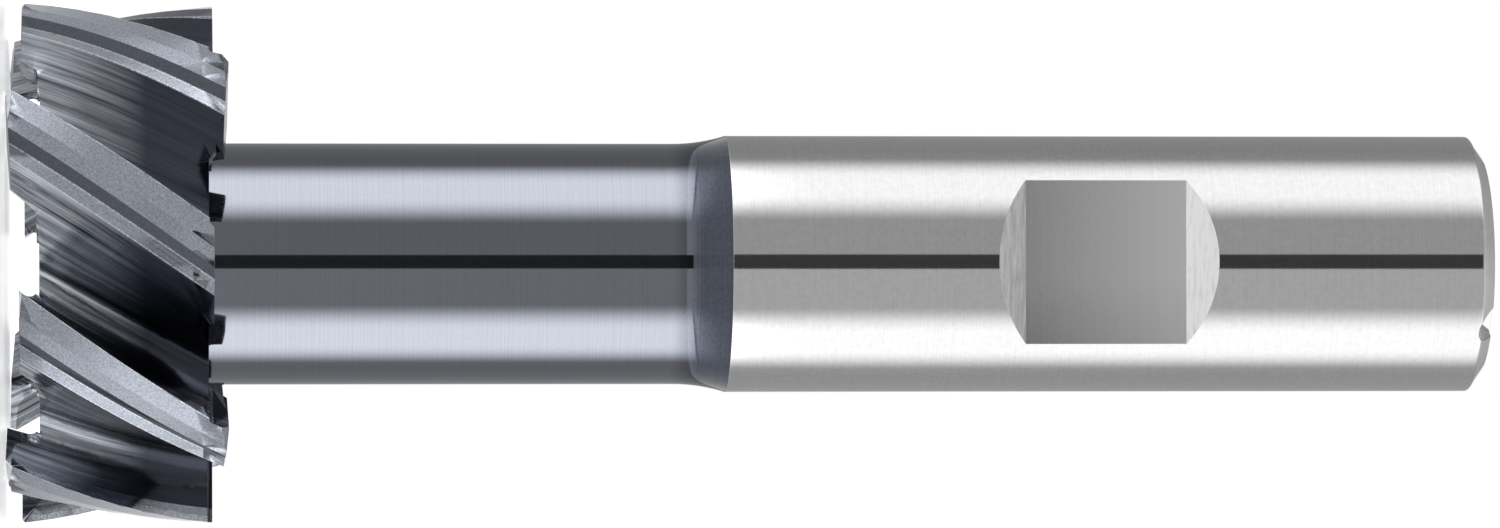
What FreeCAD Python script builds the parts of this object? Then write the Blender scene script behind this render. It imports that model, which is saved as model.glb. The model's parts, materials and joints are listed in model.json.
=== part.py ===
import FreeCAD, Part
import math
import os
import Sketcher

# T slot cutter in one piece: toothed head, thin neck, plain shank with a clamping flat.
# The cutter stands on its head. Z runs up the axis and starts at the cutting plane of the head.
# The clamping flat faces -Y. Angles about the axis are counted from -Y towards +X.

NODE = "t_slot_cutter"

# Driving dimensions in millimetres and degrees.
SIZES = {
    "headDiameter": 32.3,
    "headWidth": 13.5,
    "toothPairs": 4,
    "helixAngle": 36.0,
    "firstToothAngle": 4.5,
    # Transverse section of a tooth, from its cutting edge to its back.
    "edgeMargin": 0.08,
    "primaryLand": 1.5,
    "primaryRelief": 8.0,
    "secondaryLand": 1.2,
    "secondaryRelief": 17.0,
    "stepLand": 0.9,
    "stepRelief": 44.0,
    "heelLand": 0.95,
    "heelRelief": 16.0,
    "coreDiameter": 23.0,
    "rootRadius": 1.8,
    "rakeAngle": 9.0,
    # Teeth that cut at the front and teeth that cut at the back take turns.
    "frontStagger": 0.87,
    "backStagger": 0.9,
    "frontCornerChamfer": 0.4,
    "backCornerChamfer": 0.4,
    "frontIdleChamfer": 0.18,
    "backIdleChamfer": 0.1,
    "frontDishAngle": 1.2,
    "backDishAngle": 1.5,
    "faceLand": 0.25,
    "faceRelief": 4.5,
    # Gashes before the face edges. Their widths are those of the floors.
    "gashDepth": 1.9,
    "gashWidth": 5.4,
    "gashLean": 25.0,
    "gashRadius": 0.45,
    "gashHeelLean": 40.0,
    "gashHeelRadius": 0.7,
    "gashUndercut": 0.08,
    "backGashDepth": 1.2,
    "backGashWidth": 5.3,
    # Turned recesses that leave short teeth on both faces. The wall of the back one leans outwards.
    "frontRecessDiameter": 25.6,
    "frontRecessDepth": 2.05,
    "backRecessDiameter": 24.9,
    "backRecessDepth": 1.3,
    "backRecessLean": 28.0,
    # Neck and shank.
    "neckStep": 0.5,
    "neckBlendRadius": 11.0,
    "shankDiameter": 16.0,
    "shankLength": 47.35,
    "overallLength": 91.8,
    "shankChamfer": 0.8,
    "shankChamferInset": 1.05,
    "flatLength": 10.0,
    "flatDepth": 1.8,
    "flatFromEnd": 24.15,
    "flatRampAngle": 45.0,
    "flatClearance": 1.5,
    "notchAngle": 33.0,
    "notchRadius": 1.1,
    "notchDepth": 1.0,
    "notchLength": 1.6,
    "centreHoleDiameter": 4.25,
    "centreDrillDiameter": 2.0,
    "centreDrillDepth": 4.5,
    "centreConeAngle": 60.0,
    "drillTipAngle": 118.0,
    # How far a cut runs past the surface that it opens.
    "overrun": 1.0,
}

ALL_TEETH = "2 * Sizes.toothPairs"
EVERY_OTHER_TOOTH = "Sizes.toothPairs"
HEAD_RADIUS = "Sizes.headDiameter / 2"
SHANK_RADIUS = "Sizes.shankDiameter / 2"
NECK_RADIUS = f"({SHANK_RADIUS} - Sizes.neckStep)"
SHANK_START = "Sizes.overallLength - Sizes.shankLength"
FLAT_MIDDLE = "(Sizes.overallLength - Sizes.flatFromEnd)"
TOOTH_PITCH = "180 / Sizes.toothPairs"
LEAD = "(pi * Sizes.headDiameter / tan(Sizes.helixAngle))"
TWIST_PER_MM = f"360 / {LEAD}"
# How far a tooth turns from the front of the head to its back.
HEAD_TWIST = f"Sizes.headWidth * {TWIST_PER_MM}"
# Direction of -Y in the sketch plane of the head, where angles start at +X.
FRONT_DIRECTION = "270"
# Place of a face edge across the sketch plane that stands square to the rake line.
FACE_EDGE = f"{HEAD_RADIUS} * sin(Sizes.rakeAngle)"
# The gash wall stands a little behind the rake face, and the relief starts behind a narrow land.
GASH_WALL = f"{FACE_EDGE} + Sizes.gashUndercut"
LAND_END = f"{GASH_WALL} + Sizes.faceLand"
# Arc length from one edge to the next.
TOOTH_SPACING = f"(pi * Sizes.headDiameter / ({ALL_TEETH}))"
# From a tooth's edge to the middle of the sector that holds it and half the gash on each side.
EDGE_TO_MIDDLE = f"({TOOTH_PITCH} - Sizes.gashWidth / ({HEAD_RADIUS}) * 180 / pi) / 2"
UPWARDS = "1"
DOWNWARDS = "-1"


# Document

def makeSheet(doc):
    sheet = doc.addObject("Spreadsheet::Sheet", "Sizes")
    for row, (alias, size) in enumerate(SIZES.items(), start=1):
        sheet.set(f"A{row}", alias)
        sheet.set(f"B{row}", str(size))
        sheet.setAlias(f"B{row}", alias)
    doc.recompute()
    return sheet


def originPart(body, role):
    return next(part for part in body.Origin.OriginFeatures if part.Role == role)


# Sketches

def newSketch(body, name, plane, turnAxis=None, turn=None):
    """Sketch on one of the body's own planes, turned about the tool's axis."""
    sketch = body.newObject("Sketcher::SketchObject", name)
    sketch.AttachmentSupport = (originPart(body, plane), [""])
    sketch.MapMode = "FlatFace"
    if turn is not None:
        sketch.AttachmentOffset = FreeCAD.Placement(FreeCAD.Vector(), FreeCAD.Rotation(turnAxis, 1))
        sketch.setExpression("AttachmentOffset.Rotation.Angle", turn)
    return sketch


def turnedSketch(body, name, turn, distance=None):
    """Upright sketch whose normal points away from the axis, turned by an angle from -Y towards +X."""
    sketch = newSketch(body, name, "XZ_Plane", FreeCAD.Vector(0, 1, 0), turn)
    if distance is not None:
        sketch.setExpression("AttachmentOffset.Base.x", f"({distance}) * sin({turn})")
        sketch.setExpression("AttachmentOffset.Base.z", f"({distance}) * cos({turn})")
    return sketch


def value(sketch, expression):
    result = sketch.evalExpression(expression)
    return float(getattr(result, "Value", result))


def bindSize(sketch, name, constraint, expression):
    index = sketch.addConstraint(constraint)
    sketch.renameConstraint(index, name)
    sketch.setExpression(f"Constraints.{name}", expression)


def bindRadius(sketch, name, geometry, expression):
    radius = Sketcher.Constraint("Radius", geometry, value(sketch, expression))
    bindSize(sketch, f"{name}Radius", radius, expression)


def pinPoint(sketch, geometry, end, name, across, up):
    """Holds a point at two expressions, measured from the origin of the sketch."""
    for kind, letter, expression in (("DistanceX", "X", across), ("DistanceY", "Y", up)):
        distance = Sketcher.Constraint(kind, -1, 1, geometry, end, value(sketch, expression))
        bindSize(sketch, name + letter, distance, expression)


def cornerArc(before, corner, after, radius):
    """Centre and touching points of the arc that rounds a corner."""
    toBefore = (before - corner).normalize()
    toAfter = (after - corner).normalize()
    half = toBefore.getAngle(toAfter) / 2
    middle = (toBefore + toAfter).normalize()
    centre = corner + middle * (radius / math.sin(half))
    touch = radius / math.tan(half)
    return centre, corner + toBefore * touch, corner + toAfter * touch


def drawOutline(sketch, corners, hollows=None):
    """Closed outline through named corners. A corner with a radius is rounded, and stays as a point.
    The stretch that leaves a corner named in hollows is an arc that starts upwards and bends outwards."""
    hollows = hollows or {}
    places = [FreeCAD.Vector(value(sketch, corner[1]), value(sketch, corner[2]), 0) for corner in corners]
    count = len(corners)
    starts = list(places)
    ends = list(places)
    centres = {}
    for i, corner in enumerate(corners):
        if len(corner) > 3:
            radius = value(sketch, corner[3])
            after = places[(i + 1) % count]
            centres[i], ends[i], starts[i] = cornerArc(places[i - 1], places[i], after, radius)
    stretches = []
    for i, corner in enumerate(corners):
        first = starts[i]
        last = ends[(i + 1) % count]
        if corner[0] in hollows:
            stretches.append(hollowArc(sketch, corner[0], first, last, hollows[corner[0]]))
        else:
            line = sketch.addGeometry(Part.LineSegment(first, last), False)
            stretches.append((line, 1, 2))
    for i, corner in enumerate(corners):
        coming, comingStart, comingEnd = stretches[i - 1]
        leaving, leavingStart, leavingEnd = stretches[i]
        if i in centres:
            arcPlaces = (centres[i], ends[i], starts[i])
            roundCorner(sketch, coming, leaving, corner, places[i], arcPlaces)
        else:
            sketch.addConstraint(
                Sketcher.Constraint("Coincident", coming, comingEnd, leaving, leavingStart)
            )
            pinPoint(sketch, leaving, leavingStart, *corner)


def hollowArc(sketch, name, first, last, radius):
    size = value(sketch, radius)
    centre = FreeCAD.Vector(first.x + size, first.y, 0)
    middle = centre + ((first + last) * 0.5 - centre).normalize() * size
    # A sketch keeps an arc's ends counter-clockwise, so this one runs from its second end to its first.
    arc = sketch.addGeometry(Part.Arc(last, middle, first), False)
    bindRadius(sketch, name, arc, radius)
    return arc, 2, 1


def roundCorner(sketch, coming, leaving, corner, place, arcPlaces):
    name, across, up, radius = corner
    centre, first, last = arcPlaces
    middle = centre + (place - centre).normalize() * first.distanceToPoint(centre)
    turnsLeft = (first - centre).cross(last - centre).z > 0
    if turnsLeft:
        arc = sketch.addGeometry(Part.Arc(first, middle, last), False)
    else:
        arc = sketch.addGeometry(Part.Arc(last, middle, first), False)
    firstEnd, lastEnd = (1, 2) if turnsLeft else (2, 1)
    sketch.addConstraint(Sketcher.Constraint("Tangent", coming, 2, arc, firstEnd))
    sketch.addConstraint(Sketcher.Constraint("Tangent", leaving, 1, arc, lastEnd))
    bindRadius(sketch, name, arc, radius)
    point = sketch.addGeometry(Part.Point(place), True)
    sketch.addConstraint(Sketcher.Constraint("PointOnObject", point, 1, coming))
    sketch.addConstraint(Sketcher.Constraint("PointOnObject", point, 1, leaving))
    pinPoint(sketch, point, 1, name, across, up)


# Features

def revolve(body, kind, name, sketch, angle=None):
    """Full turn about the tool's axis, or a sector centred on the sketch plane."""
    feature = body.newObject(f"PartDesign::{kind}", name)
    feature.Profile = sketch
    feature.ReferenceAxis = (sketch, ["V_Axis"])
    if angle is None:
        feature.Angle = 360
    else:
        feature.setExpression("Angle", angle)
        feature.Midplane = True
    body.Tip = feature
    return feature


def pocketOutwards(body, name, sketch, length):
    """Cut that starts at the sketch plane and runs along its normal, away from the tool's axis."""
    feature = body.newObject("PartDesign::Pocket", name)
    feature.Profile = sketch
    feature.Reversed = True
    feature.setExpression("Length", length)
    body.Tip = feature
    return feature


def mustCut(feature):
    """A cut that points away from the metal leaves the volume as it was."""
    feature.Document.recompute()
    if feature.Shape.Volume >= feature.BaseFeature.Shape.Volume:
        raise RuntimeError(f"{feature.Name} cuts nothing")


def aroundAxis(body, name, cut, count):
    """Repeats a cut evenly around the tool."""
    mustCut(cut)
    pattern = body.newObject("PartDesign::PolarPattern", name)
    pattern.Originals = [cut]
    pattern.Axis = (originPart(body, "Z_Axis"), [""])
    pattern.Angle = 360
    pattern.setExpression("Occurrences", count)
    body.Tip = pattern
    body.Document.recompute()


# Head

def headBlank(body):
    """Disc with the corner chamfers of the working teeth and faces that are slightly hollow."""
    sketch = newSketch(body, "headBlankSketch", "XZ_Plane")
    frontCorner = f"({HEAD_RADIUS} - Sizes.frontCornerChamfer)"
    backCorner = f"({HEAD_RADIUS} - Sizes.backCornerChamfer)"
    drawOutline(sketch, [
        ("dish", "0", f"{frontCorner} * tan(Sizes.frontDishAngle)"),
        ("frontFace", frontCorner, "0"),
        ("frontCorner", HEAD_RADIUS, "Sizes.frontCornerChamfer"),
        ("backCorner", HEAD_RADIUS, "Sizes.headWidth - Sizes.backCornerChamfer"),
        ("backFace", backCorner, "Sizes.headWidth"),
        ("backDish", "0", f"Sizes.headWidth - {backCorner} * tan(Sizes.backDishAngle)"),
    ])
    return revolve(body, "Revolution", "headBlank", sketch)


def helixPath(doc):
    """Right-hand screw line that the flutes follow, a little longer than the head."""
    helix = doc.addObject("Part::Helix", "fluteHelix")
    helix.setExpression("Pitch", LEAD)
    helix.setExpression("Height", "Sizes.headWidth + 2 * Sizes.overrun")
    helix.setExpression("Radius", "Sizes.coreDiameter / 2")
    helix.setExpression("Placement.Base.z", "-Sizes.overrun")
    return helix


def fluteSketch(body):
    """Space between two teeth: four lands behind the edge, the back of the tooth, the root and the
    next rake face. The third land is a steep step."""
    turn = f"{FRONT_DIRECTION} + Sizes.firstToothAngle - Sizes.overrun * {TWIST_PER_MM}"
    sketch = newSketch(body, "fluteSketch", "XY_Plane", FreeCAD.Vector(0, 0, 1), turn)
    sketch.setExpression("AttachmentOffset.Base.z", "-Sizes.overrun")
    across = HEAD_RADIUS
    up = "Sizes.edgeMargin"
    corners = [("edge", across, up)]
    for land in ("primary", "secondary", "step", "heel"):
        across = f"{across} - Sizes.{land}Land * sin(Sizes.{land}Relief)"
        up = f"{up} + Sizes.{land}Land * cos(Sizes.{land}Relief)"
        corners.append((f"{land}End", across, up))
    nextAcross = f"{HEAD_RADIUS} * cos({TOOTH_PITCH})"
    nextUp = f"{HEAD_RADIUS} * sin({TOOTH_PITCH})"
    lean = f"({TOOTH_PITCH} - Sizes.rakeAngle)"
    rakeLength = f"({HEAD_RADIUS} - Sizes.coreDiameter / 2) / cos(Sizes.rakeAngle)"
    rootAcross = f"{nextAcross} - {rakeLength} * cos({lean})"
    rootUp = f"{nextUp} - {rakeLength} * sin({lean})"
    outside = f"({HEAD_RADIUS} / cos({TOOTH_PITCH} / 2) + Sizes.overrun)"
    corners += [
        ("root", rootAcross, rootUp, "Sizes.rootRadius"),
        ("nextEdge", f"{nextAcross} + Sizes.overrun * cos({lean})", f"{nextUp} + Sizes.overrun * sin({lean})"),
        ("outside", outside, f"{HEAD_RADIUS} * tan({TOOTH_PITCH} / 2)"),
        ("beforeEdge", f"{HEAD_RADIUS} + Sizes.overrun", "Sizes.edgeMargin"),
    ]
    drawOutline(sketch, corners)
    return sketch


def flute(body, helix):
    path = body.newObject("PartDesign::SubShapeBinder", "flutePath")
    path.Support = [(helix, ("Edge1",))]
    cut = body.newObject("PartDesign::SubtractivePipe", "flute")
    cut.Profile = fluteSketch(body)
    cut.Spine = (path, ["Edge1"])
    cut.Mode = "Frenet"
    body.Tip = cut
    return cut


def acrossTooth(body, name, edgeAngle):
    """Sketch square to the rake line of a tooth; across it, the face edge lies at FACE_EDGE."""
    return turnedSketch(body, name, f"{edgeAngle} - Sizes.rakeAngle + 360")


def frontGash(body):
    """Slot before each front face edge. Its rake wall leans with the helix, and the other opens outwards."""
    sketch = acrossTooth(body, "frontGashSketch", "Sizes.firstToothAngle")
    floor = "Sizes.gashDepth"
    wallTop = f"({GASH_WALL} + {floor} * tan(Sizes.gashLean))"
    heelTop = f"({wallTop} - Sizes.gashWidth)"
    drawOutline(sketch, [
        ("wallFoot", f"{GASH_WALL} - Sizes.overrun * tan(Sizes.gashLean)", "-Sizes.overrun"),
        ("wallTop", wallTop, floor, "Sizes.gashRadius"),
        ("heelTop", heelTop, floor, "Sizes.gashHeelRadius"),
        ("heelFoot", f"{heelTop} - ({floor} + Sizes.overrun) * tan(Sizes.gashHeelLean)", "-Sizes.overrun"),
    ])
    return pocketOutwards(body, "frontGash", sketch, HEAD_RADIUS)


def backGash(body):
    """Slot before each back face edge. Its rake wall leans with the helix, and its other wall is upright."""
    sketch = acrossTooth(body, "backGashSketch", f"Sizes.firstToothAngle + {HEAD_TWIST}")
    floor = "Sizes.headWidth - Sizes.backGashDepth"
    top = "Sizes.headWidth + Sizes.overrun"
    wallFloor = f"{GASH_WALL} - Sizes.backGashDepth * tan(Sizes.gashLean)"
    heel = f"{wallFloor} - Sizes.backGashWidth"
    drawOutline(sketch, [
        ("wallFloor", wallFloor, floor, "Sizes.gashRadius"),
        ("wallTop", f"{GASH_WALL} + Sizes.overrun * tan(Sizes.gashLean)", top),
        ("heelTop", heel, top),
        ("heelFloor", heel, floor, "Sizes.gashRadius"),
    ])
    return pocketOutwards(body, "backGash", sketch, HEAD_RADIUS)


def frontStagger(body):
    """Sets the front of every other tooth back, with a small chamfer of its own."""
    sketch = turnedSketch(body, "frontStaggerSketch", f"Sizes.firstToothAngle + {EDGE_TO_MIDDLE} + 360")
    inner = "Sizes.frontRecessDiameter / 4"
    outer = f"{HEAD_RADIUS} + Sizes.overrun"
    chamferFoot = f"({HEAD_RADIUS} - Sizes.frontIdleChamfer)"
    drawOutline(sketch, [
        ("innerFoot", inner, "-Sizes.overrun"),
        ("outerFoot", outer, "-Sizes.overrun"),
        ("outerTop", outer, f"Sizes.frontStagger + {outer} - {chamferFoot}"),
        ("chamferFoot", chamferFoot, "Sizes.frontStagger"),
        ("innerTop", inner, "Sizes.frontStagger"),
    ])
    return revolve(body, "Groove", "frontStagger", sketch, TOOTH_PITCH)


def backStagger(body):
    """Sets the back of the other teeth down."""
    middle = f"Sizes.firstToothAngle + {TOOTH_PITCH} + {HEAD_TWIST} + {EDGE_TO_MIDDLE}"
    sketch = turnedSketch(body, "backStaggerSketch", middle)
    inner = "Sizes.backRecessDiameter / 4"
    outer = f"{HEAD_RADIUS} + Sizes.overrun"
    level = "Sizes.headWidth - Sizes.backStagger"
    top = "Sizes.headWidth + Sizes.overrun"
    chamferFoot = f"({HEAD_RADIUS} - Sizes.backIdleChamfer)"
    drawOutline(sketch, [
        ("innerLevel", inner, level),
        ("chamferFoot", chamferFoot, level),
        ("outerLevel", outer, f"{level} - ({outer} - {chamferFoot})"),
        ("outerTop", outer, top),
        ("innerTop", inner, top),
    ])
    return revolve(body, "Groove", "backStagger", sketch, TOOTH_PITCH)


def frontRelief(body):
    """Tilts the front face of a working tooth away from its edge, behind a narrow land."""
    sketch = acrossTooth(body, "frontReliefSketch", f"Sizes.firstToothAngle + {TOOTH_PITCH}")
    heel = f"{LAND_END} + {TOOTH_SPACING}"
    drawOutline(sketch, [
        ("landEnd", LAND_END, "0"),
        ("landFoot", LAND_END, "-Sizes.overrun"),
        ("heelFoot", heel, "-Sizes.overrun"),
        ("heelTop", heel, f"{TOOTH_SPACING} * tan(Sizes.faceRelief)"),
    ])
    return pocketOutwards(body, "frontRelief", sketch, HEAD_RADIUS)


def backRelief(body):
    """The same tilt on the back face of the other teeth."""
    sketch = acrossTooth(body, "backReliefSketch", f"Sizes.firstToothAngle + {HEAD_TWIST}")
    heel = f"{LAND_END} + {TOOTH_SPACING}"
    top = "Sizes.headWidth + Sizes.overrun"
    drawOutline(sketch, [
        ("landEnd", LAND_END, "Sizes.headWidth"),
        ("heelFloor", heel, f"Sizes.headWidth - {TOOTH_SPACING} * tan(Sizes.faceRelief)"),
        ("heelTop", heel, top),
        ("landTop", LAND_END, top),
    ])
    return pocketOutwards(body, "backRelief", sketch, HEAD_RADIUS)


def frontRecess(body):
    """Turned recess that the front gashes run into."""
    sketch = newSketch(body, "frontRecessSketch", "XZ_Plane")
    wall = "Sizes.frontRecessDiameter / 2"
    drawOutline(sketch, [
        ("foot", "0", "-Sizes.overrun"),
        ("wallFoot", wall, "-Sizes.overrun"),
        ("wallTop", wall, "Sizes.frontRecessDepth"),
        ("floor", "0", "Sizes.frontRecessDepth"),
    ])
    return revolve(body, "Groove", "frontRecess", sketch)


def backRecess(body):
    """Turned recess round the foot of the neck that the back gashes run into."""
    sketch = newSketch(body, "backRecessSketch", "XZ_Plane")
    rim = "Sizes.backRecessDiameter / 2"
    floor = "Sizes.headWidth - Sizes.backRecessDepth"
    top = "Sizes.headWidth + Sizes.overrun"
    drawOutline(sketch, [
        ("floor", "0", floor),
        ("wallFloor", f"{rim} - Sizes.backRecessDepth * tan(Sizes.backRecessLean)", floor),
        ("wallTop", f"{rim} + Sizes.overrun * tan(Sizes.backRecessLean)", top),
        ("top", "0", top),
    ])
    return revolve(body, "Groove", "backRecess", sketch)


# Neck and shank

def neckAndShank(body):
    """Turned neck, hollow blend up to the shank, plain shank with its end chamfer."""
    sketch = newSketch(body, "shankSketch", "XZ_Plane")
    blendLength = "sqrt(Sizes.neckBlendRadius ^ 2 - (Sizes.neckBlendRadius - Sizes.neckStep) ^ 2)"
    inHead = "Sizes.headWidth / 2"
    ramp = "Sizes.flatDepth / tan(Sizes.flatRampAngle)"
    # The shank is drawn in two stretches that meet below the clamping flat.
    belowFlat = f"{FLAT_MIDDLE} - Sizes.flatLength / 2 - {ramp} - Sizes.flatClearance"
    drawOutline(sketch, [
        ("foot", "0", inHead),
        ("neckFoot", NECK_RADIUS, inHead),
        ("blendStart", NECK_RADIUS, f"{SHANK_START} - {blendLength}"),
        ("shankStart", SHANK_RADIUS, SHANK_START),
        ("belowFlat", SHANK_RADIUS, belowFlat),
        ("chamferStart", SHANK_RADIUS, "Sizes.overallLength - Sizes.shankChamfer"),
        ("chamferEnd", f"{SHANK_RADIUS} - Sizes.shankChamferInset", "Sizes.overallLength"),
        ("end", "0", "Sizes.overallLength"),
    ], hollows={"blendStart": "Sizes.neckBlendRadius"})
    turned = revolve(body, "Revolution", "neckAndShank", sketch)
    turned.Refine = False
    body.Document.recompute()
    return turned


def clampingFlat(body):
    """Flat on the -Y side of the shank, with a ramp at each end."""
    sketch = newSketch(body, "clampingFlatSketch", "YZ_Plane")
    low = f"{FLAT_MIDDLE} - Sizes.flatLength / 2"
    high = f"{FLAT_MIDDLE} + Sizes.flatLength / 2"
    level = f"-({SHANK_RADIUS} - Sizes.flatDepth)"
    outside = f"-({SHANK_RADIUS} + Sizes.overrun)"
    ramp = "(Sizes.flatDepth + Sizes.overrun) / tan(Sizes.flatRampAngle)"
    drawOutline(sketch, [
        ("lowLevel", level, low),
        ("highLevel", level, high),
        ("highOutside", outside, f"{high} + {ramp}"),
        ("lowOutside", outside, f"{low} - {ramp}"),
    ])
    cut = body.newObject("PartDesign::Pocket", "clampingFlat")
    cut.Profile = sketch
    cut.Midplane = True
    cut.Refine = False
    cut.setExpression("Length", "Sizes.shankDiameter + 2 * Sizes.overrun")
    body.Tip = cut
    return cut


def endNotch(body):
    """Small round-bottomed notch across the chamfer of the shank end."""
    depthIn = f"{SHANK_RADIUS} - Sizes.notchLength"
    sketch = turnedSketch(body, "endNotchSketch", "Sizes.notchAngle", depthIn)
    place = FreeCAD.Vector(0, value(sketch, "Sizes.overallLength"), 0)
    circle = Part.Circle(place, FreeCAD.Vector(0, 0, 1), value(sketch, "Sizes.notchRadius"))
    edge = sketch.addGeometry(circle, False)
    centreHeight = "Sizes.overallLength + Sizes.notchRadius - Sizes.notchDepth"
    pinPoint(sketch, edge, 3, "centre", "0", centreHeight)
    bindRadius(sketch, "notch", edge, "Sizes.notchRadius")
    cut = pocketOutwards(body, "endNotch", sketch, "Sizes.notchLength + Sizes.overrun")
    cut.Refine = False
    return cut


def centreHole(body, name, mouth, inwards):
    """Centre hole that the tool is ground on: a short drill hole with a cone at its mouth."""
    sketch = newSketch(body, f"{name}Sketch", "XZ_Plane")
    mouthRadius = "Sizes.centreHoleDiameter / 2"
    drillRadius = "Sizes.centreDrillDiameter / 2"
    coneDepth = f"({mouthRadius} - {drillRadius}) / tan(Sizes.centreConeAngle / 2)"
    tip = f"{drillRadius} / tan(Sizes.drillTipAngle / 2)"
    outside = f"{mouth} - {inwards} * Sizes.overrun"
    drawOutline(sketch, [
        ("outside", "0", outside),
        ("mouthOutside", mouthRadius, outside),
        ("mouth", mouthRadius, mouth),
        ("coneEnd", drillRadius, f"{mouth} + {inwards} * {coneDepth}"),
        ("drillEnd", drillRadius, f"{mouth} + {inwards} * Sizes.centreDrillDepth"),
        ("tip", "0", f"{mouth} + {inwards} * (Sizes.centreDrillDepth + {tip})"),
    ])
    hole = revolve(body, "Groove", name, sketch)
    hole.Refine = False
    return hole


# Whole tool

def buildCutter(doc):
    body = doc.addObject("PartDesign::Body", NODE)
    body.Label = NODE
    helix = helixPath(doc)
    headBlank(body)
    doc.recompute()
    aroundAxis(body, "flutes", flute(body, helix), ALL_TEETH)
    aroundAxis(body, "frontGashes", frontGash(body), ALL_TEETH)
    aroundAxis(body, "backGashes", backGash(body), ALL_TEETH)
    aroundAxis(body, "frontStaggers", frontStagger(body), EVERY_OTHER_TOOTH)
    aroundAxis(body, "backStaggers", backStagger(body), EVERY_OTHER_TOOTH)
    aroundAxis(body, "frontReliefs", frontRelief(body), EVERY_OTHER_TOOTH)
    aroundAxis(body, "backReliefs", backRelief(body), EVERY_OTHER_TOOTH)
    mustCut(frontRecess(body))
    mustCut(backRecess(body))
    neckAndShank(body)
    mustCut(clampingFlat(body))
    mustCut(endNotch(body))
    mustCut(centreHole(body, "frontCentreHole", "Sizes.frontRecessDepth", UPWARDS))
    mustCut(centreHole(body, "shankCentreHole", "Sizes.overallLength", DOWNWARDS))
    return body


def checkDocument(doc, body):
    for thing in doc.Objects:
        if "Invalid" in thing.State or "Error" in thing.State:
            raise RuntimeError(f"{thing.Name} failed: {thing.State}")
    if body.Shape.isNull() or not body.Shape.isValid():
        raise RuntimeError(f"{body.Label} has no valid shape")
    if len(body.Shape.Solids) != 1:
        raise RuntimeError(f"{body.Label} has {len(body.Shape.Solids)} solids")


def main():
    doc = FreeCAD.newDocument("TSlotCutter")
    makeSheet(doc)
    cutter = buildCutter(doc)
    doc.recompute()
    checkDocument(doc, cutter)
    os.makedirs("parts", exist_ok=True)
    cutter.Shape.exportStep(f"parts/{cutter.Label}.step")
    box = cutter.Shape.optimalBoundingBox(False, False)
    print(f"{cutter.Label}: {box.XLength:.2f} x {box.YLength:.2f} x {box.ZLength:.2f} mm")
    print(f"lowest point {box.ZMin:.3f} mm, volume {cutter.Shape.Volume:.0f} cubic mm")


main()
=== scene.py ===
import json
import math
import bpy
from mathutils import Matrix, Vector

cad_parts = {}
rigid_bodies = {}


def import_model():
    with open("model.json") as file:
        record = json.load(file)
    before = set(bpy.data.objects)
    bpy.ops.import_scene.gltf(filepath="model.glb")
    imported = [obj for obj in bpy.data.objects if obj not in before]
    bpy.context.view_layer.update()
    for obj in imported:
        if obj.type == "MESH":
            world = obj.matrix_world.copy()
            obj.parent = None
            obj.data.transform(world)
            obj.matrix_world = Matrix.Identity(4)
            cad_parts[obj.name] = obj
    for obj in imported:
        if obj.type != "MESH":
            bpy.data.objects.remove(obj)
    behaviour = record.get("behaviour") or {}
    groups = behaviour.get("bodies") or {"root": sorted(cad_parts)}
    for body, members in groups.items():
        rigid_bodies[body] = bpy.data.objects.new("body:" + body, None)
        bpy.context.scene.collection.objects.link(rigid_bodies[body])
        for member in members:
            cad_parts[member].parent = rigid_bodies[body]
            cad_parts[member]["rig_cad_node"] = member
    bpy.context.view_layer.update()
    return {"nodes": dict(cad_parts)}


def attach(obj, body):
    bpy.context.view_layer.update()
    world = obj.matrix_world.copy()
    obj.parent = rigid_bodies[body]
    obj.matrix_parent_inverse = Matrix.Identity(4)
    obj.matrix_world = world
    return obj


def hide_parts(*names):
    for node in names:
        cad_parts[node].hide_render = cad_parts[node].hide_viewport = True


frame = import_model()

print("frame loaded")


# helpers for node materials

def newMaterial(name):
    material = bpy.data.materials.new(name)
    material.use_nodes = True
    tree = material.node_tree
    return material, tree, tree.nodes["Principled BSDF"]


def addNode(tree, kind, **settings):
    # each setting is an input or a property of the node
    node = tree.nodes.new(kind)
    for key, setting in settings.items():
        if key in node.inputs:
            node.inputs[key].default_value = setting
        else:
            setattr(node, key, setting)
    return node


def objectPlace(tree):
    return addNode(tree, "ShaderNodeTexCoord").outputs["Object"]


def axesOf(tree, vector):
    # the X, Y and Z of a place
    node = addNode(tree, "ShaderNodeSeparateXYZ")
    tree.links.new(vector, node.inputs[0])
    return node.outputs


def combined(tree, operation, *values):
    node = addNode(tree, "ShaderNodeMath", operation=operation)
    for socket, value in zip(node.inputs, values):
        if isinstance(value, (int, float)):
            socket.default_value = value
        else:
            tree.links.new(value, socket)
    return node.outputs[0]


def ranged(tree, value, low, high, fromLow=0.3, fromHigh=0.7):
    node = addNode(tree, "ShaderNodeMapRange")
    node.inputs["From Min"].default_value = fromLow
    node.inputs["From Max"].default_value = fromHigh
    node.inputs["To Min"].default_value = low
    node.inputs["To Max"].default_value = high
    tree.links.new(value, node.inputs["Value"])
    return node.outputs["Result"]


def blended(tree, value, first, second):
    # colour that runs from the first to the second with the value; each may be a colour or a socket
    node = addNode(tree, "ShaderNodeMix", data_type="RGBA")
    colours = [socket for socket in node.inputs if socket.type == "RGBA"]
    for socket, colour in zip(colours, (first, second)):
        if isinstance(colour, tuple):
            socket.default_value = (*colour, 1)
        else:
            tree.links.new(colour, socket)
    tree.links.new(value, node.inputs["Factor"])
    return next(socket for socket in node.outputs if socket.type == "RGBA")


def noise(tree, vector, scale, detail=3, roughness=0.6):
    node = addNode(tree, "ShaderNodeTexNoise", Scale=scale, Detail=detail, Roughness=roughness)
    tree.links.new(vector, node.inputs["Vector"])
    return node.outputs["Fac"]


def streaked(tree, vector, scales, detail=3, roughness=0.6):
    # noise that is drawn out along the axis with the smallest scale
    mapping = addNode(tree, "ShaderNodeMapping")
    mapping.inputs["Scale"].default_value = scales
    tree.links.new(vector, mapping.inputs["Vector"])
    return noise(tree, mapping.outputs["Vector"], 1, detail, roughness)


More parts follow.
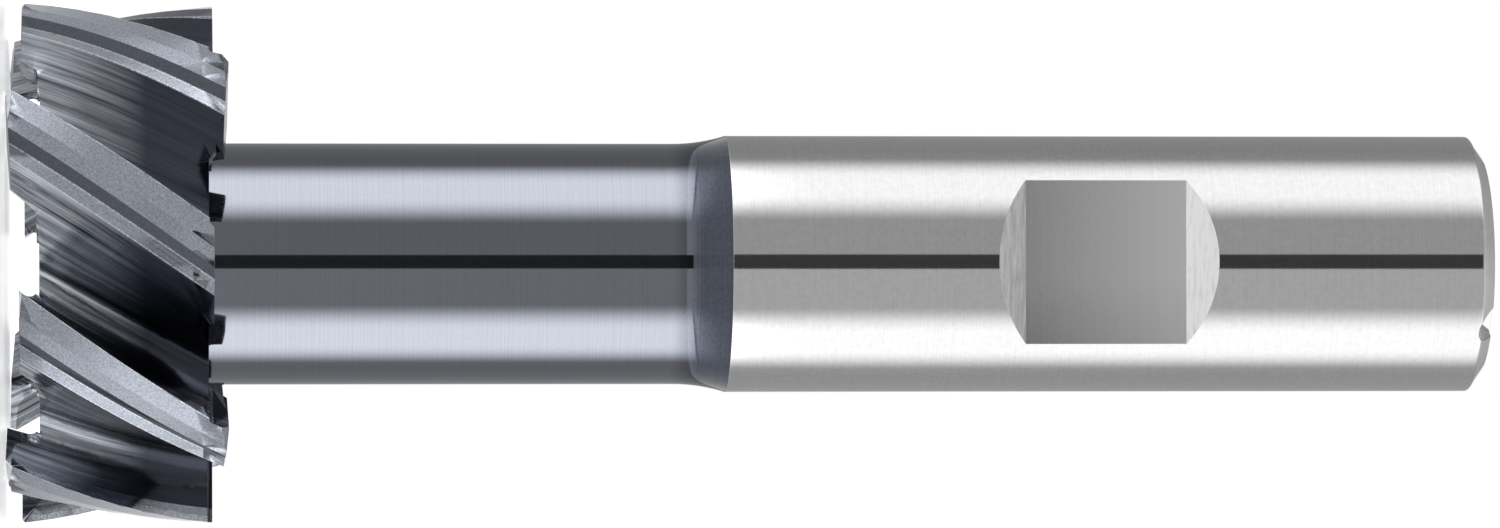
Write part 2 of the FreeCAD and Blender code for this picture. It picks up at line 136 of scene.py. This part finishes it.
def bumped(tree, height, shader, look):
    # grinding lines on top of edges that are a little rounded
    edges = addNode(tree, "ShaderNodeBevel", samples=6, Radius=look["edge"])
    node = addNode(tree, "ShaderNodeBump", Strength=look["bump"], Distance=look["bumpDepth"])
    tree.links.new(height, node.inputs["Height"])
    tree.links.new(edges.outputs["Normal"], node.inputs["Normal"])
    tree.links.new(node.outputs["Normal"], shader.inputs["Normal"])


def makeSteel(name, look, shade=None):
    # shade adds painted light and shade to the grinding lines, as light and dark parts of a face
    material, tree, shader = newMaterial(name)
    shader.inputs["Metallic"].default_value = 1
    place = objectPlace(tree)
    marks = streaked(tree, place, look["lines"], detail=look["lineDetail"])
    if shade:
        marks = shade(tree, place, marks)
    grain = noise(tree, place, look["grainScale"], detail=4)
    paintedLightAndLines = blended(tree, ranged(tree, marks, 0, 1, 0, 1), look["dark"], look["light"])
    dusty = blended(tree, ranged(tree, grain, 0, look["grainShare"]), paintedLightAndLines, look["light"])
    tree.links.new(dusty, shader.inputs["Base Color"])
    tree.links.new(ranged(tree, marks, *look["roughness"]), shader.inputs["Roughness"])
    bumped(tree, marks, shader, look)
    return material


def activate(piece):
    bpy.ops.object.select_all(action="DESELECT")
    piece.select_set(True)
    bpy.context.view_layer.objects.active = piece


def ownPlace(piece):
    # puts the place and size of a piece into its mesh
    activate(piece)
    bpy.ops.object.transform_apply(location=True, rotation=True, scale=True)


def finished(piece):
    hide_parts("t_slot_cutter")
    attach(piece, "root")


# head: the CAD shape with its eight teeth, under a dark blue-grey coating

# sizes in metres, with Z along the axis of the tool
head = {
    "radius": 0.01615,
    "width": 0.0135,
    "helixAngle": 36,
    "firstEdge": 4.5,  # degrees round the axis, at the cutting plane
    "pitch": 45,
    "landRadius": 0.01525,  # the ground lands behind the edges lie outside it
    "borderTolerance": 0.00002,
    "chamferHeight": 0.0013,  # the narrow chamfers at the front of the lands lie below it
    "chamferSlope": 0.5,  # how far a normal points along the axis
    "floorSlope": 0.85,
    "mergeDistance": 0.000002,
    "smoothAngle": 18,
}
neck = {"radius": 0.0075, "blendRadius": 0.011, "foot": 0.007}
twistPerMetre = math.tan(math.radians(head["helixAngle"])) / head["radius"]

headCoating = {
    "landDark": (0.14, 0.152, 0.178),
    "landLight": (0.4, 0.425, 0.48),
    "landSparkle": 9000,
    # colour of the painted highlights along the borders of the lands
    "paintedLightAndLines": (0.7, 0.72, 0.76),
    "highlightWidth": 0.22,  # degrees, of the painted highlight along each border
    "highlightShare": 0.8,
    "stepStart": 9.8,  # degrees behind the edge
    "stepEnd": 12.7,
    # painted shade on the step between the lands
    "stepShade": 0.75,
    "fluteStart": 16.2,
    "fluteDark": (0.03, 0.034, 0.046),
    # colour of the painted reflection on the flute streaks
    "flutePaintedSheen": (0.8, 0.84, 0.92),
    "fluteLines": (2600, 2600, 60),
    "fluteClouds": (300, 300, 120),
    "fluteBackShare": 0.03,  # of the painted light on the streaks, away from the cutting plane
    "flutePaintedSheenFade": (0.002, 0.0085),  # heights between which the painted light on the streaks gets weaker
    "landRoughness": 0.1,
    "fluteRoughness": 0.2,
    "bump": 0.25,
    "bumpDepth": 0.00002,
    "edge": 0.00005,
}

faceCoating = {
    "dark": (0.06, 0.066, 0.082),
    "light": (0.13, 0.14, 0.165),
    "roughness": (0.2, 0.3),
    "lines": (700, 3000, 3000),
    "lineDetail": 4,
    "grainScale": 6000,
    "grainShare": 0.4,
    "bump": 0.1,
    "bumpDepth": 0.00002,
    "edge": 0.00005,
}

# painted highlight: steel brighter than the bare shank on the narrow chamfers
chamferHighlight = {
    "dark": (0.7, 0.715, 0.75),
    "light": (0.95, 0.96, 0.98),
    "roughness": (0.4, 0.5),
    "lines": (700, 3000, 3000),
    "lineDetail": 4,
    "grainScale": 6000,
    "grainShare": 0.4,
    "bump": 0.1,
    "bumpDepth": 0.00002,
    "edge": 0.00003,
}


def alongHelix(tree, vector):
    # turns every height back by the twist of the teeth, so that lines along Z follow the helix
    untwisted = addNode(tree, "ShaderNodeVectorRotate", rotation_type="Z_AXIS")
    tree.links.new(vector, untwisted.inputs["Vector"])
    turn = combined(tree, "MULTIPLY", axesOf(tree, vector)["Z"], -twistPerMetre)
    tree.links.new(turn, untwisted.inputs["Angle"])
    return untwisted.outputs["Vector"]


def behindEdge(tree, helix):
    # degrees from the cutting edge in front of a place, measured round the axis
    axes = axesOf(tree, helix)
    angle = combined(tree, "ARCTAN2", axes["Y"], axes["X"])
    degrees = combined(tree, "DEGREES", angle)
    turned = combined(tree, "SUBTRACT", degrees, head["firstEdge"])
    return combined(tree, "WRAP", turned, head["pitch"], 0)


def fromAxis(tree, place):
    flat = addNode(tree, "ShaderNodeVectorMath", operation="MULTIPLY")
    tree.links.new(place, flat.inputs[0])
    flat.inputs[1].default_value = (1, 1, 0)
    length = addNode(tree, "ShaderNodeVectorMath", operation="LENGTH")
    tree.links.new(flat.outputs[0], length.inputs[0])
    return length.outputs["Value"]


def landColour(tree, behind, sparkle):
    # lands with a fine sparkle, and painted shade on the step between them
    look = headCoating
    land = blended(tree, ranged(tree, sparkle, 0, 1, 0.25, 0.75), look["landDark"], look["landLight"])
    pastStart = combined(tree, "GREATER_THAN", behind, look["stepStart"])
    beforeEnd = combined(tree, "LESS_THAN", behind, look["stepEnd"])
    inStep = combined(tree, "MULTIPLY", pastStart, beforeEnd)
    return blended(tree, combined(tree, "MULTIPLY", inStep, look["stepShade"]), land, look["fluteDark"])


def fluteColour(tree, place, helix, lines):
    # grinding streaks along the helix, with a painted reflection on them that is strongest near the
    # cutting plane
    look = headCoating
    streaks = ranged(tree, lines, 0, 1, 0.34, 0.66)
    clouds = ranged(tree, streaked(tree, helix, look["fluteClouds"], detail=2), 0.5, 1)
    front = ranged(tree, axesOf(tree, place)["Z"], 1, look["fluteBackShare"], *look["flutePaintedSheenFade"])
    light = combined(tree, "MULTIPLY", combined(tree, "MULTIPLY", streaks, clouds), front)
    return blended(tree, light, look["fluteDark"], look["flutePaintedSheen"])


def paintedBorderHighlights(tree, behind, outside, sparkle):
    # painted highlights: thin bright lines along the edge and between the lands
    look = headCoating
    paintedLightAndLines = combined(tree, "LESS_THAN", behind, look["highlightWidth"])
    for border in (look["stepEnd"], look["fluteStart"]):
        away = combined(tree, "ABSOLUTE", combined(tree, "SUBTRACT", behind, border))
        paintedLightAndLines = combined(tree, "MAXIMUM", paintedLightAndLines, combined(tree, "LESS_THAN", away, look["highlightWidth"]))
    paintedLightAndLines = combined(tree, "MULTIPLY", paintedLightAndLines, outside)
    return combined(tree, "MULTIPLY", paintedLightAndLines, ranged(tree, sparkle, 0, look["highlightShare"]))


def makeHeadCoating():
    look = headCoating
    material, tree, shader = newMaterial("headCoating")
    place = objectPlace(tree)
    helix = alongHelix(tree, place)
    behind = behindEdge(tree, helix)
    sparkle = noise(tree, place, look["landSparkle"], detail=4, roughness=0.7)
    lines = streaked(tree, helix, look["fluteLines"], detail=5, roughness=0.7)
    inside = combined(tree, "LESS_THAN", fromAxis(tree, place), head["landRadius"])
    outside = combined(tree, "SUBTRACT", 1, inside)
    pastLands = combined(tree, "GREATER_THAN", behind, look["fluteStart"])
    inFlute = combined(tree, "MAXIMUM", inside, pastLands)
    land = landColour(tree, behind, sparkle)
    flute = fluteColour(tree, place, helix, lines)
    coat = blended(tree, inFlute, land, flute)
    # painted highlights along the edge and the land borders
    borderHighlight = paintedBorderHighlights(tree, behind, outside, sparkle)
    tree.links.new(blended(tree, borderHighlight, coat, look["paintedLightAndLines"]), shader.inputs["Base Color"])
    shader.inputs["Metallic"].default_value = 1
    roughness = ranged(tree, inFlute, look["landRoughness"], look["fluteRoughness"], 0, 1)
    tree.links.new(roughness, shader.inputs["Roughness"])
    bumped(tree, lines, shader, look)
    return material


def isBody(face):
    # the neck and shank of the CAD shape, which are turned anew below
    return face.center.z > head["width"] or (
        face.center.z > head["width"] / 2 and face.center.xy.length < neck["radius"] * 1.01
    )


def headMaterial(points, face):
    slope = abs(face.normal.z)
    if slope > head["floorSlope"]:
        return 1  # end faces and gash floors
    corners = [points[i].co for i in face.vertices]
    low = all(corner.z < head["chamferHeight"] for corner in corners)
    outside = all(corner.xy.length > head["landRadius"] for corner in corners)
    if slope > head["chamferSlope"] and low and outside:
        return 2  # narrow chamfers, with a painted highlight
    return 0


def isLandBorder(points, edge):
    # runs along the helix: both ends lie at one radius
    first, second = (points[i].co.xy.length for i in edge.vertices)
    return min(first, second) > head["landRadius"] and abs(first - second) < head["borderTolerance"]


def makeHead():
    activate(frame["nodes"]["t_slot_cutter"])
    bpy.ops.object.duplicate()
    piece = bpy.context.object
    piece.name = "headSteel"
    del piece["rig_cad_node"]
    piece.data.materials.clear()
    piece.data.materials.append(makeHeadCoating())
    piece.data.materials.append(makeSteel("faceCoating", faceCoating))
    piece.data.materials.append(makeSteel("chamferHighlight", chamferHighlight))
    bpy.ops.object.mode_set(mode="EDIT")
    bpy.ops.mesh.select_mode(type="FACE")
    bpy.ops.mesh.select_all(action="SELECT")
    bpy.ops.mesh.remove_doubles(threshold=head["mergeDistance"])
    bpy.ops.mesh.select_all(action="DESELECT")
    bpy.ops.object.mode_set(mode="OBJECT")
    points = piece.data.vertices
    for face in piece.data.polygons:
        face.select = isBody(face)
        face.material_index = headMaterial(points, face)
    bpy.ops.object.mode_set(mode="EDIT")
    bpy.ops.mesh.delete(type="FACE")
    bpy.ops.object.mode_set(mode="OBJECT")
    bpy.ops.object.shade_smooth_by_angle(angle=math.radians(head["smoothAngle"]))
    points = piece.data.vertices
    for edge in piece.data.edges:
        if isLandBorder(points, edge):
            edge.use_edge_sharp = True
    # normals that follow the large faces, so that flutes and lands look even
    even = piece.modifiers.new("evenNormals", "WEIGHTED_NORMAL")
    even.keep_sharp = True
    even.weight = 50
    bpy.ops.object.modifier_apply(modifier=even.name)
    finished(piece)


makeHead()
print("head dressed")


# neck and shank: turned from a circle, ring after ring, the neck coated and the shank bare

shank = {
    "radius": 0.008,
    "start": 0.04445,
    "end": 0.0918,
    "chamferLength": 0.0008,
    "chamferInset": 0.00105,
    "edgeRounding": 0.00012,
    "sides": 240,
    "smoothAngle": 16,
}
clampingFlat = {"middle": 0.06765, "length": 0.01, "depth": 0.0018, "cutHeight": 0.004}
flatLevel = -(shank["radius"] - clampingFlat["depth"])
flatStart = clampingFlat["middle"] - clampingFlat["length"] / 2
flatEnd = clampingFlat["middle"] + clampingFlat["length"] / 2
endNotch = {"angle": 33, "radius": 0.0011, "depth": 0.001, "length": 0.0016, "sides": 48}
centreHole = {
    "mouth": 0.002125,
    "drill": 0.001,
    "drillDepth": 0.0045,
    "tipDepth": 0.0051,
    "coneAngle": 60,
}

shankSteel = {
    "dark": (0.48, 0.48, 0.485),
    "light": (0.72, 0.72, 0.725),
    "roughness": (0.045, 0.07),
    "lines": (10, 10, 9000),
    "lineDetail": 4,
    "grainScale": 3000,
    "grainShare": 0.5,
    "bump": 0.05,
    "bumpDepth": 0.00001,
    "edge": 0.00006,
}

flatSteel = {
    "dark": (0.33, 0.33, 0.335),
    "light": (0.95, 0.95, 0.955),
    "roughness": (0.36, 0.36),
    "lines": (60, 60, 5000),
    "lineDetail": 3,
    "lineShare": 0.1,
    "paintedEndLight": (0.2, 0.85),  # painted light, at the neck's end and at the free end
    # painted shade towards one side of the flat
    "paintedSideShade": -0.25,
    "sideFade": (0.001, 0.0055),  # places across the flat
    "grainScale": 4000,
    "grainShare": 0.1,
    "bump": 0.05,
    "bumpDepth": 0.00001,
    "edge": 0.00006,
}

rampSteel = {
    "dark": (0.5, 0.5, 0.505),
    # a light colour brighter than the shank's steel, for the painted light on the ramp
    "light": (0.98, 0.98, 0.98),
    "roughness": (0.45, 0.55),
    "lines": (700, 4000, 4000),
    "lineDetail": 4,
    "lineShare": 0.6,
    # painted light, at the neck's end and at the free end
    "paintedEndLight": (0, 0.7),
    "grainScale": 2500,
    "grainShare": 0.1,
    "bump": 0.3,
    "bumpDepth": 0.00002,
    "edge": 0.00008,
}

neckCoating = {
    "dark": (0.06, 0.067, 0.088),
    "light": (0.37, 0.385, 0.43),
    "roughness": (0.045, 0.07),
    "lines": (10, 10, 9000),
    "lineDetail": 4,
    "lineShare": 0.3,
    "tone": 0.5,
    "hollowShadeHeights": (0.0408, 0.0426),  # heights between which painted shade darkens the hollow
    "grainScale": 5000,
    "grainShare": 0.08,
    "bump": 0.05,
    "bumpDepth": 0.00001,
    "edge": 0.00006,
}


def flatShade(tree, place, lines):
    # painted light and shade: lighter towards the end of the shank, and darker towards one side
    look = flatSteel
    axes = axesOf(tree, place)
    along = ranged(tree, axes["Z"], *look["paintedEndLight"], flatStart, flatEnd)
    across = ranged(tree, axes["X"], 0, look["paintedSideShade"], *look["sideFade"])
    return combined(tree, "MULTIPLY_ADD", lines, look["lineShare"], combined(tree, "ADD", along, across))


def rampShade(tree, place, lines):
    # milled across, with painted light on the ramp at the end of the shank
    look = rampSteel
    along = ranged(tree, axesOf(tree, place)["Z"], *look["paintedEndLight"], flatStart, flatEnd)
    return combined(tree, "ADD", ranged(tree, lines, 0, look["lineShare"]), along)


def neckShade(tree, place, lines):
    # faint lines, and painted shade in the hollow next to the shank
    look = neckCoating
    tone = ranged(tree, axesOf(tree, place)["Z"], look["tone"], 0, *look["hollowShadeHeights"])
    lines = combined(tree, "SUBTRACT", lines, 0.5)
    return combined(tree, "MULTIPLY_ADD", lines, look["lineShare"], tone)


def rounded(before, corner, after):
    # places that round a corner of the turned profile
    start = corner + (before - corner).normalized() * shank["edgeRounding"]
    end = corner + (after - corner).normalized() * shank["edgeRounding"]
    shares = (0, 0.25, 0.5, 0.75, 1)
    return [start * (1 - t) ** 2 + corner * 2 * t * (1 - t) + end * t ** 2 for t in shares]


def hollowRings():
    # the hollow in which the neck widens to the shank
    step = shank["radius"] - neck["radius"]
    blendAngle = math.acos(1 - step / neck["blendRadius"])
    blendStart = shank["start"] - neck["blendRadius"] * math.sin(blendAngle)
    rings = [Vector((neck["radius"], blendStart * share)) for share in (0.5, 0.75, 0.98)]
    for i in range(9):
        angle = blendAngle * i / 8
        radius = neck["radius"] + neck["blendRadius"] * (1 - math.cos(angle))
        rings.append(Vector((radius, blendStart + neck["blendRadius"] * math.sin(angle))))
    return rings


def turnedRings():
    # radius and height of each ring, from the foot of the neck to the tip of the centre hole
    rings = hollowRings()
    chamferStart = Vector((shank["radius"], shank["end"] - shank["chamferLength"]))
    chamferEnd = Vector((shank["radius"] - shank["chamferInset"], shank["end"]))
    mouth = Vector((centreHole["mouth"], shank["end"]))
    for share in (0.01, 0.2, 0.4, 0.6, 0.8, 0.99):
        height = shank["start"] + (chamferStart.y - shank["start"]) * share
        rings.append(Vector((shank["radius"], height)))
    rings += rounded(rings[-1], chamferStart, chamferEnd)
    rings += rounded(chamferStart, chamferEnd, mouth)
    halfCone = math.radians(centreHole["coneAngle"] / 2)
    coneDepth = (centreHole["mouth"] - centreHole["drill"]) / math.tan(halfCone)
    rings.append(mouth)
    rings.append(Vector((centreHole["drill"], shank["end"] - coneDepth)))
    rings.append(Vector((centreHole["drill"], shank["end"] - centreHole["drillDepth"])))
    rings.append(Vector((centreHole["drill"] / 100, shank["end"] - centreHole["tipDepth"])))
    return rings


def turnedBlank():
    bpy.ops.object.select_all(action="DESELECT")
    bpy.ops.mesh.primitive_circle_add(
        vertices=shank["sides"],
        radius=neck["radius"],
        fill_type="NGON",
        location=(0, 0, neck["foot"]),
    )
    piece = bpy.context.object
    ownPlace(piece)
    bpy.ops.object.mode_set(mode="EDIT")
    bpy.ops.mesh.select_all(action="SELECT")
    radius, height = neck["radius"], neck["foot"]
    for ring in turnedRings():
        bpy.ops.mesh.extrude_region_move(TRANSFORM_OT_translate={"value": (0, 0, ring.y - height)})
        share = ring.x / radius
        bpy.ops.transform.resize(value=(share, share, 1), center_override=(0, 0, ring.y))
        radius, height = ring
    bpy.ops.mesh.select_all(action="SELECT")
    bpy.ops.mesh.normals_make_consistent(inside=False)
    bpy.ops.object.mode_set(mode="OBJECT")
    return piece


def cutAway(piece, tool):
    activate(piece)
    cut = piece.modifiers.new("cut", "BOOLEAN")
    cut.operation = "DIFFERENCE"
    cut.solver = "EXACT"
    cut.object = tool
    bpy.ops.object.modifier_apply(modifier=cut.name)
    bpy.data.objects.remove(tool)


def flatTool():
    # block whose ends open outwards at 45 degrees
    height = clampingFlat["cutHeight"]
    bpy.ops.object.select_all(action="DESELECT")
    bpy.ops.mesh.primitive_cube_add(
        size=1,
        location=(0, flatLevel - height / 2, clampingFlat["middle"]),
        scale=(3 * shank["radius"], height, clampingFlat["length"]),
    )
    tool = bpy.context.object
    ownPlace(tool)
    bpy.ops.object.mode_set(mode="EDIT")
    bpy.ops.mesh.select_mode(type="FACE")
    bpy.ops.mesh.select_all(action="DESELECT")
    bpy.ops.object.mode_set(mode="OBJECT")
    for face in tool.data.polygons:
        face.select = face.normal.y < -0.5
    bpy.ops.object.mode_set(mode="EDIT")
    share = (clampingFlat["length"] + 2 * height) / clampingFlat["length"]
    bpy.ops.transform.resize(
        value=(1, 1, share), center_override=(0, flatLevel - height, clampingFlat["middle"])
    )
    bpy.ops.object.mode_set(mode="OBJECT")
    return tool


def notchTool():
    # round bar that points outwards, across the edge of the shank end
    turn = math.radians(endNotch["angle"])
    outwards = Vector((math.sin(turn), -math.cos(turn), 0))
    length = 2 * endNotch["length"]
    centre = outwards * (shank["radius"] - endNotch["length"] + length / 2)
    centre.z = shank["end"] + endNotch["radius"] - endNotch["depth"]
    bpy.ops.object.select_all(action="DESELECT")
    bpy.ops.mesh.primitive_cylinder_add(
        vertices=endNotch["sides"],
        radius=endNotch["radius"],
        depth=length,
        location=centre,
        rotation=(math.radians(90), 0, turn),
    )
    return bpy.context.object


def shankMaterial(face):
    if face.center.z < shank["start"]:
        return 1  # neck
    nearFlat = abs(face.center.z - clampingFlat["middle"]) < clampingFlat["length"]
    if nearFlat and face.normal.y < -0.999 and face.center.y > -shank["radius"] * 0.8:
        return 2  # clamping flat
    if nearFlat and abs(face.normal.z) > 0.5:
        return 3  # ramps
    return 0


def makeShank():
    piece = turnedBlank()
    piece.name = "shankSteel"
    cutAway(piece, flatTool())
    cutAway(piece, notchTool())
    piece.data.materials.clear()
    piece.data.materials.append(makeSteel("shankSteel", shankSteel))
    piece.data.materials.append(makeSteel("neckCoating", neckCoating, neckShade))
    piece.data.materials.append(makeSteel("flatSteel", flatSteel, flatShade))
    piece.data.materials.append(makeSteel("rampSteel", rampSteel, rampShade))
    for face in piece.data.polygons:
        face.material_index = shankMaterial(face)
    activate(piece)
    bpy.ops.object.shade_smooth_by_angle(angle=math.radians(shank["smoothAngle"]))
    finished(piece)


makeShank()
print("neck and shank turned")


# floor, backdrop, lamps and camera

floorBoard = {"size": 6.0, "colour": (0.5, 0.5, 0.5), "lift": 0.5, "roughness": 0.2}
backdropPaper = {
    "width": 1.2,
    "height": 1.2,
    "distance": 2.9,
    "colour": (0, 0, 0),
    "lift": 1,
    "roughness": 1,
}
panels = {
    "leftAngle": 73,  # from the clamping flat's direction
    "rightAngle": 75,
    "distance": 0.5,
    "bottom": 0.005,
    "width": 0.72,
    "height": 0.6,
    "power": 3.15,
    "softShare": 0.79,  # share of the half width over which a panel fades out
    "strongHeight": 0.081,  # a panel is strongest near the floor, up to this height
    "upperShare": 0.44,
    "upperFade": 0.01,
}
lensShade = {
    "width": 0.112,
    "length": 0.5,
    "distance": 0.5,
    "turn": -1.0,
    "colour": (0.09, 0.09, 0.095),
}
room = {
    "left": 0.43,
    "right": 0.55,
    "sideSpan": (-0.12, 0.12),
    "backShare": 0.75,
    "backSpan": (0, 0.5),
    "topShare": 1.5,
    "topSpan": (0.4, 0.8),
}
photoCamera = {
    "turn": 1.1,  # about the tool's axis, from the clamping flat
    "tilt": 4.377,
    "distance": 0.5095,
    "targetHeight": 0.04606,
    "focalPixels": 8175.6,
    "imageWidth": 1500,
    "sensor": 36,
}


def seenRays(tree):
    # one for camera, mirror and glass rays
    path = addNode(tree, "ShaderNodeLightPath")
    total = path.outputs["Is Camera Ray"]
    for name in ("Is Glossy Ray", "Is Transmission Ray"):
        added = addNode(tree, "ShaderNodeMath", operation="ADD", use_clamp=True)
        tree.links.new(total, added.inputs[0])
        tree.links.new(path.outputs[name], added.inputs[1])
        total = added.outputs[0]
    return total


def whiteSurface(name, look):
    # paper that looks white, and still darker where the tool shades it
    material, tree, shader = newMaterial(name)
    shader.inputs["Base Color"].default_value = (*look["colour"], 1)
    shader.inputs["Roughness"].default_value = look["roughness"]
    shader.inputs["Emission Color"].default_value = (1, 1, 1, 1)
    strength = combined(tree, "MULTIPLY", seenRays(tree), look["lift"])
    tree.links.new(strength, shader.inputs["Emission Strength"])
    return material


def makeFloor():
    bpy.ops.mesh.primitive_plane_add(size=floorBoard["size"], location=(0, 0, 0))
    floor = bpy.context.object
    floor.name = "floor"
    floor.data.materials.append(whiteSurface("floorBoard", floorBoard))


def makeBackdrop():
    place = (0, backdropPaper["distance"], backdropPaper["height"] / 2)
    bpy.ops.mesh.primitive_plane_add(size=1, location=place)
    backdrop = bpy.context.object
    backdrop.name = "backdrop"
    backdrop.scale = (backdropPaper["width"], backdropPaper["height"], 1)
    backdrop.rotation_euler = (math.radians(90), 0, 0)
    backdrop.data.materials.append(whiteSurface("backdropPaper", backdropPaper))


def standing(right, up, back, place):
    # places a lamp or camera that looks away from its back
    turned = Matrix((right, up, back)).transposed().to_4x4()
    return Matrix.Translation(place) @ turned


def softEdges(lamp):
    # a panel fades out towards its two upright edges, and is weaker above
    lamp.use_nodes = True
    tree = lamp.node_tree
    place = addNode(tree, "ShaderNodeNewGeometry")
    axes = axesOf(tree, place.outputs["Parametric"])
    fromMiddle = combined(tree, "ABSOLUTE", combined(tree, "SUBTRACT", axes["X"], 0.5))
    fade = addNode(tree, "ShaderNodeMapRange", interpolation_type="SMOOTHSTEP")
    fade.inputs["From Min"].default_value = 0.5 * (1 - panels["softShare"])
    fade.inputs["From Max"].default_value = 0.5
    fade.inputs["To Min"].default_value = 1
    fade.inputs["To Max"].default_value = 0
    tree.links.new(fromMiddle, fade.inputs["Value"])
    step = (panels["strongHeight"] - panels["bottom"]) / panels["height"]
    stepStart, stepEnd = step - panels["upperFade"], step + panels["upperFade"]
    above = ranged(tree, axes["Y"], 1, panels["upperShare"], stepStart, stepEnd)
    strength = combined(tree, "MULTIPLY", fade.outputs["Result"], above)
    tree.links.new(strength, tree.nodes["Emission"].inputs["Strength"])


def makePanel(name, turn):
    back = Vector((math.sin(turn), -math.cos(turn), 0))
    centre = back * panels["distance"]
    centre.z = panels["bottom"] + panels["height"] / 2
    lamp = bpy.data.lights.new("panel", "AREA")
    lamp.shape = "RECTANGLE"
    lamp.size = panels["width"]
    lamp.size_y = panels["height"]
    lamp.energy = panels["power"]
    softEdges(lamp)
    stand = bpy.data.objects.new(name, lamp)
    bpy.context.collection.objects.link(stand)
    up = Vector((0, 0, 1))
    stand.matrix_world = standing(up.cross(back).normalized(), up, back, centre)


def makeLensShade():
    # the dark camera and its hood, which polished steel shows as a thin dark line
    turn = math.radians(lensShade["turn"])
    direction = Vector((math.sin(turn), -math.cos(turn), 0))
    bpy.ops.mesh.primitive_plane_add(size=1, location=direction * lensShade["distance"])
    shade = bpy.context.object
    shade.name = "lensShade"
    shade.scale = (lensShade["width"], lensShade["length"], 1)
    shade.rotation_euler = (math.radians(90), 0, turn)
    shade.visible_camera = False
    material, tree, shader = newMaterial("shadeCloth")
    shader.inputs["Base Color"].default_value = (*lensShade["colour"], 1)
    shader.inputs["Roughness"].default_value = 1
    shade.data.materials.append(material)


def makeRoom():
    # a grey room, lighter on its right and above, darker behind the tool
    world = bpy.data.worlds.new("studio")
    world.use_nodes = True
    tree = world.node_tree
    axes = axesOf(tree, addNode(tree, "ShaderNodeTexCoord").outputs["Generated"])
    side = ranged(tree, axes["X"], room["left"], room["right"], *room["sideSpan"])
    depth = ranged(tree, axes["Y"], 1, room["backShare"], *room["backSpan"])
    height = ranged(tree, axes["Z"], 1, room["topShare"], *room["topSpan"])
    strength = combined(tree, "MULTIPLY", combined(tree, "MULTIPLY", side, depth), height)
    background = tree.nodes["Background"]
    background.inputs["Color"].default_value = (1, 1, 1, 1)
    tree.links.new(strength, background.inputs["Strength"])
    bpy.context.scene.world = world


def makeCamera():
    # the picture lies on its side: the tool's head is at its left
    turn = math.radians(photoCamera["turn"])
    tilt = math.radians(photoCamera["tilt"])
    target = Vector((0, 0, photoCamera["targetHeight"]))
    back = Vector((math.sin(turn) * math.cos(tilt), -math.cos(turn) * math.cos(tilt), -math.sin(tilt)))
    imageUp = Vector((-math.cos(turn), -math.sin(turn), 0))
    right = imageUp.cross(back).normalized()
    lens = bpy.data.cameras.new("photoCamera")
    lens.sensor_width = photoCamera["sensor"]
    lens.lens = photoCamera["focalPixels"] * photoCamera["sensor"] / photoCamera["imageWidth"]
    lens.clip_start = 0.01
    lens.clip_end = 20
    camera = bpy.data.objects.new("photoCamera", lens)
    bpy.context.collection.objects.link(camera)
    place = target + back * photoCamera["distance"]
    camera.matrix_world = standing(right, back.cross(right), back, place)
    bpy.context.scene.camera = camera


bpy.ops.object.select_all(action="DESELECT")
makeFloor()
makeBackdrop()
makePanel("panelLeft", -math.radians(panels["leftAngle"]))
makePanel("panelRight", math.radians(panels["rightAngle"]))
makeLensShade()
makeRoom()
makeCamera()
bpy.context.scene.view_settings.view_transform = "Standard"
print("studio ready")
